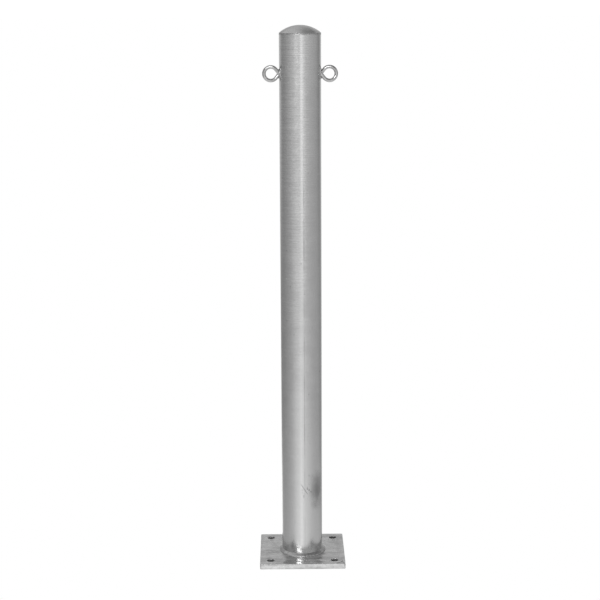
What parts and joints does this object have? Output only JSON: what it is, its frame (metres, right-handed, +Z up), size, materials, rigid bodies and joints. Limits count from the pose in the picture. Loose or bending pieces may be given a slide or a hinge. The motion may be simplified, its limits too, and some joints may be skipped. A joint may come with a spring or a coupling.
{
  "type": "bolt-down chain post bollard",
  "caption": "Galvanised round steel bollard with a dished cap, a square bolt-down base plate and a welded bar eye on each side for a barrier chain.",
  "frame": {"origin": "on the ground, under the middle of the post and of the base plate", "axes": "+Z up along the post, eyes along X, base plate sides parallel to X and Y"},
  "size_m": [0.16, 0.16, 1],
  "materials": {
    "tube_zinc": "hot-dip galvanised welded steel tube, bright and fairly smooth, with fine grinding marks round it",
    "plate_zinc": "hot-dip galvanised plate, dull mottled zinc",
    "cap_zinc": "hot-dip galvanised pressed cap, satin zinc",
    "weld_zinc": "galvanised weld metal, lumpy and slightly duller",
    "wire_zinc": "galvanised round bar, smooth and bright"
  },
  "bodies": {
    "root": {"base_plate": "plate_zinc", "post_tube": "tube_zinc", "dome_cap": "cap_zinc", "base_weld": "weld_zinc", "cap_weld": "weld_zinc", "left_eye": "wire_zinc", "right_eye": "wire_zinc", "left_eye_upper_weld": "weld_zinc", "left_eye_lower_weld": "weld_zinc", "right_eye_upper_weld": "weld_zinc", "right_eye_lower_weld": "weld_zinc"}
  },
  "joints": []
}
